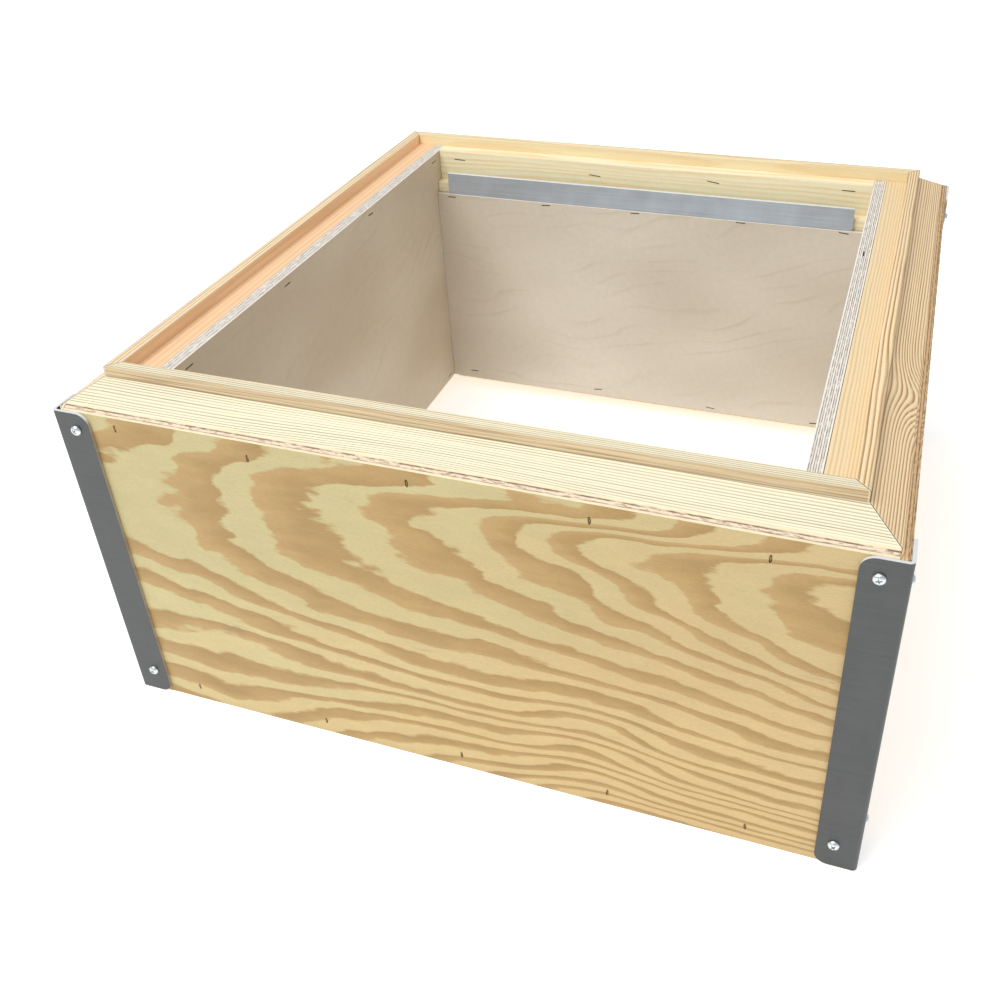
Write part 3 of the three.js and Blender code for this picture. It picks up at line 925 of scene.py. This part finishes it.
def corner_angle(name, turns, materials):
    """Bent sheet on the -X, -Y corner, turned to its own corner."""
    inner_radius = ANGLE_BEND - ANGLE_THICKNESS
    centre = -OUTER_OUT + inner_radius
    free = -ANGLE_OUT + ANGLE_LEG
    corner_steps, bend_steps, flat_steps = 10, 10, 6
    stations = [free - ANGLE_CORNER * (1 - math.cos(step / corner_steps * math.pi / 2))
                for step in range(corner_steps + 1)]
    last = stations[-1]
    stations += [last + (centre - last) * step / flat_steps for step in range(1, flat_steps + 1)]
    leg = [(Vector((x, -ANGLE_OUT)), Vector((x, -OUTER_OUT)), free - x) for x in stations]
    bend = []
    for step in range(1, bend_steps):
        turn = step / bend_steps * math.pi / 2
        spoke = Vector((-math.sin(turn), -math.cos(turn)))
        middle = Vector((centre, centre))
        bend.append((middle + spoke * ANGLE_BEND, middle + spoke * inner_radius, ANGLE_LEG))
    other_leg = [(outside.yx, inside.yx, away) for outside, inside, away in reversed(leg)]
    bm = bmesh.new()
    place = Matrix.Rotation(turns * math.pi / 2, 4, "Z")
    columns = []
    for outside, inside, away in leg + bend + other_leg:
        inset = 0
        if away < ANGLE_CORNER:
            inset = ANGLE_CORNER - math.sqrt(ANGLE_CORNER ** 2 - (ANGLE_CORNER - away) ** 2)
        heights = (angle_low.z + inset, angle_high.z - inset)
        columns.append([bm.verts.new(place @ Vector((*side, z)) * MM)
                        for side in (outside, inside) for z in heights])
    for (a0, a1, b0, b1), (c0, c1, d0, d1) in zip(columns, columns[1:]):
        bm.faces.new((a0, a1, c1, c0))
        bm.faces.new((b0, d0, d1, b1))
        for quad in ((a1, b1, d1, c1), (a0, c0, d0, b0)):
            bm.faces.new(quad).material_index = 1
    for column in (columns[0], columns[-1]):
        bm.faces.new((column[0], column[1], column[3], column[2])).material_index = 1
    piece = finish_mesh(name, bm, materials)
    eased = piece.modifiers.new("eased edges", "BEVEL")
    eased.width = ANGLE_EASED * MM
    eased.segments = 2
    eased.limit_method = "ANGLE"
    eased.angle_limit = math.radians(50)
    apply_modifiers(piece)
    return piece


# -------------------- screws

# The head as (radius, height) from the middle of its top to its seat.
HEAD_PROFILE = [(0.0, 2.37), (1.2, 2.33), (2.1, 2.12), (2.8, 1.72),
                (3.25, 1.15), (3.48, 0.55), (3.5, 0.15), (3.36, 0.0)]
HEAD_HEIGHT = HEAD_PROFILE[0][1]
SCREW_SIDES = 36
SCREW_POINT = 4
RECESS_HALF_LENGTH = 1.75
RECESS_HALF_WIDTH = 0.42
RECESS_FLOOR = 0.9
RECESS_TAPER = 0.62
RECESS_PROUD = 0.3
THREAD_PITCH = 1.5
THREAD_RADIUS = 1.9
THREAD_CORE = 1.35


def screw_mesh(material):
    """A pan-head wood screw with a cross recess, its head towards +Z from its seat at 0."""
    length = (screw_high.y - screw_low.y) - HEAD_HEIGHT
    bm = bmesh.new()
    rings = [[bm.verts.new((0, 0, HEAD_HEIGHT))]]
    profile = list(HEAD_PROFILE[1:])
    turns = int(length / (THREAD_PITCH / 2))
    for step in range(turns):
        z = -step * THREAD_PITCH / 2
        taper = min(1, (length + z) / SCREW_POINT)
        profile.append(((THREAD_RADIUS if step % 2 == 0 else THREAD_CORE) * taper, z - 0.05))
    for radius, z in profile:
        rings.append([bm.verts.new((radius * math.cos(a), radius * math.sin(a), z))
                      for a in (side / SCREW_SIDES * math.tau for side in range(SCREW_SIDES))])
    rings.append([bm.verts.new((0, 0, -length))])
    join_rings(bm, rings)
    body = finish_mesh("screw_blank", bm, [material])
    subtract(body, finish_mesh("screw_recess", recess_bmesh(), [material]))
    soften(body)
    mesh = body.data
    bpy.data.objects.remove(body)
    return mesh


def recess_bmesh():
    """The tapered cross that a driver fits."""
    long, wide = RECESS_HALF_LENGTH, RECESS_HALF_WIDTH
    top = HEAD_HEIGHT + RECESS_PROUD
    outline = []
    for turn in range(4):
        spin = Matrix.Rotation(turn * math.pi / 2, 2)
        outline += [spin @ Vector(corner) for corner in ((wide, wide), (wide, long), (-wide, long))]
    bm = bmesh.new()
    upper = [bm.verts.new((*corner, top)) for corner in outline]
    lower = [bm.verts.new((*(corner * RECESS_TAPER), RECESS_FLOOR)) for corner in outline]
    bm.faces.new(upper)
    bm.faces.new(lower)
    join_rings(bm, [upper, lower])
    return bm


def add_screws(material):
    mesh = screw_mesh(material)
    spin = random.Random(11)
    names = sorted(node for node in frame["nodes"] if node.startswith("angle_screw_"))
    for node in names:
        low, high = cad_mm(node)
        middle = (low + high) / 2
        wall = node.split("_")[2]
        seat = middle * MM
        axis = 0 if wall in CORNER_CUT else 1
        side = 1 if wall in ("right", "back") else -1
        seat[axis] = side * ANGLE_OUT * MM
        piece = add_object(node.replace("angle_screw", "pan_head_screw"), mesh)
        turned = Matrix.Rotation(spin.uniform(0, math.pi / 2), 4, "Z")
        face_out = Euler((math.pi / 2, 0, 0)).to_matrix().to_4x4()
        piece.matrix_world = (Matrix.Translation(seat) @ wall_turn(wall) @ face_out @ turned
                              @ Matrix.Scale(MM, 4))
        stands_for(piece, node)


# -------------------- staples
# A staple is (along, up), and lies flat in a torn slot a little below the surface.

FRONT_TOP = [(-205.5, 226.5), (-115.5, 222.5), (-15, 225.5), (88.5, 223), (181.5, 220)]
FRONT_BOTTOM = [(-198.5, 12), (-99, 10.5), (-0.5, 11.5), (97, 11.5), (182, 13)]
END_INNER_STAPLES = [
    (-172, 207.5), (-87.5, 208), (4, 207.5), (85.5, 207), (176, 206.5),
    (-166, 20.5), (-70.5, 21), (39, 23.5), (167.5, 24.5),
]
SIDE_INNER_STAPLES = [
    (-189, 239), (-63.5, 239.5), (68, 239), (188, 239),
    (-180, 22), (-60, 23), (62, 21.5), (178, 23),
]
EDGE_STAPLE = (69.5, side_inner_high.z)
EDGE_STAPLE_OUT = 194.3
BATTEN_STAPLES = [(-171, 239.5), (-60.5, 237), (43.5, 234), (170.5, 238)]

# A slot's stations from its end to its middle: distance from the end, half width and
# depth. A plain slot is even. A punched one has a deep pit at each end.
PLAIN_SLOT = [(0, 0.25, 0.9), (0.3, 0.55, 0.9), (1.5, 0.6, 0.9)]
PUNCHED_SLOT = [(0, 0.3, 3), (0.3, 0.65, 3), (1.1, 0.75, 3), (1.35, 0.95, 0.9)]
SLOT_OVERSHOOT = {False: 0.4, True: 1.0}
SLOT_TORN = (0.8, 1.25)
SLOT_TAPER = 0.75
SLOT_PROUD = 1
LOST_SHARE = 0.01
WIRE_SUNK = 0.35
WIRE_HALF_WIDTH = 0.42
WIRE_HALF_THICKNESS = 0.28
WIRE_SIDES = 8
STAPLE_LEG = 4
STAPLE_BEND = 0.5
BEND_SHARE = 0.3
STAPLE_TILT = 7
OUTER_CROWN, INNER_CROWN, BATTEN_CROWN, EDGE_CROWN = 3.2, 7.5, 10, 8


def staple_points(crown):
    """Centre line of a staple: leg, crown, leg. Y is the depth into the wood."""
    half, bend = crown / 2, STAPLE_BEND
    left = [(-half, STAPLE_LEG), (-half, bend),
            (-half + bend * BEND_SHARE, bend * BEND_SHARE), (-half + bend, 0)]
    return left + [(-x, y) for x, y in reversed(left)]


def volume(mesh):
    bm = bmesh.new()
    bm.from_mesh(mesh)
    size = bm.calc_volume()
    bm.free()
    return size


def cut_out(panel, name, bm):
    """Cuts the closed shapes in bm out of the panel. A cut that takes away more than a
    small share of the panel has gone wrong, and is undone."""
    bmesh.ops.triangulate(bm, faces=bm.faces)
    cutter = finish_mesh(name, bm, panel.data.materials[:1])
    whole = panel.data
    subtract(panel, cutter)
    if volume(panel.data) < volume(whole) * (1 - LOST_SHARE):
        print("CUT UNDONE", name)
        panel.data = whole


def add_slot(bm, at, crown, punched, jitter):
    """A closed trough, as deep as the slot and a little proud of the wood."""
    half = crown / 2 + SLOT_OVERSHOOT[punched]
    slot = PUNCHED_SLOT if punched else PLAIN_SLOT
    left = [(start - half, wide, deep) for start, wide, deep in slot]
    stations = left + [(-x, wide, deep) for x, wide, deep in reversed(left)]
    rings = []
    for x, wide, deep in stations:
        low, high = (wide * jitter.uniform(*SLOT_TORN) for _ in range(2))
        rings.append([bm.verts.new(at(x, y, depth))
                      for y, depth in ((-low, -SLOT_PROUD), (high, -SLOT_PROUD),
                                       (high * SLOT_TAPER, deep), (-low * SLOT_TAPER, deep))])
    closed_tube(bm, rings)


def add_wire(bm, at, crown):
    """A staple's wire along its centre line."""
    points = staple_points(crown)
    rings = []
    for index, (x, depth) in enumerate(points):
        before = Vector(points[max(index - 1, 0)])
        after = Vector(points[min(index + 1, len(points) - 1)])
        run = (after - before).normalized()
        normal = Vector((run.y, -run.x))
        ring = []
        for corner in range(WIRE_SIDES):
            a = (corner + 0.5) / WIRE_SIDES * math.tau
            off = normal * math.sin(a) * WIRE_HALF_THICKNESS
            ring.append(bm.verts.new(at(x + off.x, math.cos(a) * WIRE_HALF_WIDTH,
                                        WIRE_SUNK + depth + off.y)))
        rings.append(ring)
    closed_tube(bm, rings)


def staple_set(name, wall, face_out, inwards, places, crown, lean, panel, wire, seed,
               punched=False, on_top=False):
    """Cuts a torn slot in the panel for each staple, and lays the wire in it.

    inwards is the direction from the face into the wood, along the wall's out axis.
    A punched staple has a deep pit at each end. One on_top is driven down into the
    panel's top edge, with face_out as its place across that edge.
    """
    jitter = random.Random(seed)
    wires = bmesh.new()
    slots = bmesh.new()
    for along, up in places:
        turn = Matrix.Rotation(math.radians(lean + jitter.uniform(-STAPLE_TILT, STAPLE_TILT)), 2)

        def at(x, y, depth):
            flat = turn @ Vector((x, y))
            if on_top:
                return wall_point(wall, along + flat.x, face_out + flat.y, up - depth)
            return wall_point(wall, along + flat.x, face_out + inwards * depth, up + flat.y)

        add_slot(slots, at, crown, punched, jitter)
        add_wire(wires, at, crown)
    cut_out(panel, f"{name}_slots", slots)
    staples = finish_mesh(name, wires, [wire])
    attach(staples, "root")


def mirrored(places, shift):
    """The same row for a wall that isn't the pattern's own, a little off in its places."""
    return [(-along + shift, up - shift * 0.2) for along, up in places]


# -------------------- building

angle_metal = sheet_metal("corner_angle_sheet", 31, rgb(90, 92, 92), 0.42, (40, 40, 0.8), 1.0)
strip_metal = sheet_metal("rest_strip_aluminium", 32, rgb(186, 197, 210), 0.45, (60, 1, 0.7), 0.6)
cut_edge = cut_metal("cut_metal_edge", 33)
screw_zinc = zinc("screw_zinc", rgb(214, 220, 222), 0.24, 34)
staple_steel = zinc("staple_steel", rgb(96, 88, 78), 0.5, 35)
sunk_steel = zinc("sunk_staple_steel", rgb(142, 120, 86), 0.55, 36)

# How far the other walls' staple rows are shifted.
ROW_SHIFT, INNER_SHIFT = 2.5, 3

panels, inners, battens = {}, {}, {}
for number, name in enumerate(WALLS):
    panels[name] = outer_panel(name, 1 + number)
    stands_for(panels[name], f"outer_panel_{name}")
    stands_for(top_rail(name, 6 + number), f"top_rail_{name}")
    stands_for(bottom_rail(name, 11 + number), f"bottom_rail_{name}")
    inners[name] = inner_panel(name, 16 + number)
    stands_for(inners[name], f"inner_panel_{name}")

for number, name in enumerate(BATTENS):
    battens[name] = rest_batten(name, 21 + number)
    stands_for(battens[name], f"frame_rest_batten_{name}")
    strip = rest_strip(name, 23 + number, [strip_metal, cut_edge])
    stands_for(strip, f"frame_rest_strip_{name}")

for turns, name in enumerate(("front_left", "front_right", "back_right", "back_left")):
    angle = corner_angle(f"bent_angle_{name}", turns, [angle_metal, cut_edge])
    stands_for(angle, f"corner_angle_{name}")

add_screws(screw_zinc)

for number, name in enumerate(WALLS):
    rows = FRONT_TOP + FRONT_BOTTOM
    if name != "front":
        rows = mirrored(rows, number * ROW_SHIFT)
    staple_set(f"{name}_panel_staples", name, OUTER_OUT, -1, rows, OUTER_CROWN, 90,
               panels[name], sunk_steel, 50 + number, punched=True)
    if name in CORNER_CUT:
        places, inner_out = SIDE_INNER_STAPLES, side_inner_low.x
    else:
        places, inner_out = END_INNER_STAPLES, -end_inner_high.y
    if name in ("front", "right"):
        places = mirrored(places, INNER_SHIFT)
    staple_set(f"{name}_inner_staples", name, inner_out, 1, places, INNER_CROWN, 0,
               inners[name], staple_steel, 60 + number)

staple_set("right_edge_staple", "right", EDGE_STAPLE_OUT, 1, [EDGE_STAPLE], EDGE_CROWN, -4,
           inners["right"], staple_steel, 69, on_top=True)

for number, name in enumerate(BATTENS):
    staple_set(f"{name}_batten_staples", name, BATTEN_FACE_OUT, 1, BATTEN_STAPLES, BATTEN_CROWN, 3,
               battens[name], staple_steel, 70 + number)

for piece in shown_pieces():
    if "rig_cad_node" not in piece and not piece.name.startswith("pan_head_screw"):
        soften(piece)

for node in frame["nodes"]:
    if node.startswith("corner_post"):
        wood = pine(f"{node}_pine", "front", 80 + len(node), BOTTOM_RAILS["front"])
        frame["nodes"][node].material_slots[0].material = wood
    if node.startswith("insulation"):
        frame["nodes"][node].material_slots[0].material = insulation_board(f"{node}_board")

# -------------------- floor, light, camera
# This part is in metres.

FLOOR_HALF = 6
FLOOR_DROP = 0.0002
FLOOR_GLOW = 0.5
KEY_PLACE = (-1.1, -1.6, 3.3)
KEY_TARGET = (0, 0, 0.1)
KEY_SIZE = 2.2
KEY_POWER = 76
WORLD_STRENGTH = 0.62
CAMERA_PLACE = (0.2219, -0.6651, 0.5722)
CAMERA_AZIMUTH = 20.55
CAMERA_ELEVATION = 32.8
CAMERA_ROLL = -2.62
CAMERA_LENS = 39.04
CAMERA_SHIFT = (-0.0412, -0.0849)


def pale_floor():
    bm = bmesh.new()
    bmesh.ops.create_grid(bm, x_segments=1, y_segments=1, size=FLOOR_HALF)
    mesh = bpy.data.meshes.new("pale_floor")
    bm.to_mesh(mesh)
    bm.free()
    floor = add_object("pale_floor", mesh)
    floor.location.z = -FLOOR_DROP
    paint = Paint("pale_floor_paint")
    glow = {"Emission_Color": (1, 1, 1, 1), "Emission_Strength": FLOOR_GLOW}
    mesh.materials.append(paint.finish(rgb(245, 245, 245), 0.9, **glow))


def key_light():
    light = bpy.data.lights.new("key", "AREA")
    light.shape = "DISK"
    light.size = KEY_SIZE
    light.energy = KEY_POWER
    lamp = add_object("key", light)
    lamp.location = KEY_PLACE
    aim = Vector(KEY_TARGET) - Vector(KEY_PLACE)
    lamp.rotation_euler = aim.to_track_quat("-Z", "Y").to_euler()


pale_floor()
key_light()

world = bpy.data.worlds.new("studio")
world.use_nodes = True
background = world.node_tree.nodes["Background"].inputs
background["Color"].default_value = (1, 1, 1, 1)
background["Strength"].default_value = WORLD_STRENGTH
bpy.context.scene.world = world
bpy.context.scene.view_settings.view_transform = "Standard"

camera = add_object("camera", bpy.data.cameras.new("camera"))
camera.data.lens = CAMERA_LENS
camera.data.shift_x, camera.data.shift_y = CAMERA_SHIFT
camera.location = CAMERA_PLACE
heading = math.radians(CAMERA_AZIMUTH)
tilt = math.radians(CAMERA_ELEVATION)
backwards = Vector((math.sin(heading) * math.cos(tilt), -math.cos(heading) * math.cos(tilt),
                    math.sin(tilt)))
roll = Matrix.Rotation(math.radians(CAMERA_ROLL), 3, "Z").to_quaternion()
camera.rotation_mode = "QUATERNION"
camera.rotation_quaternion = backwards.to_track_quat("Z", "Y") @ roll
bpy.context.scene.camera = camera
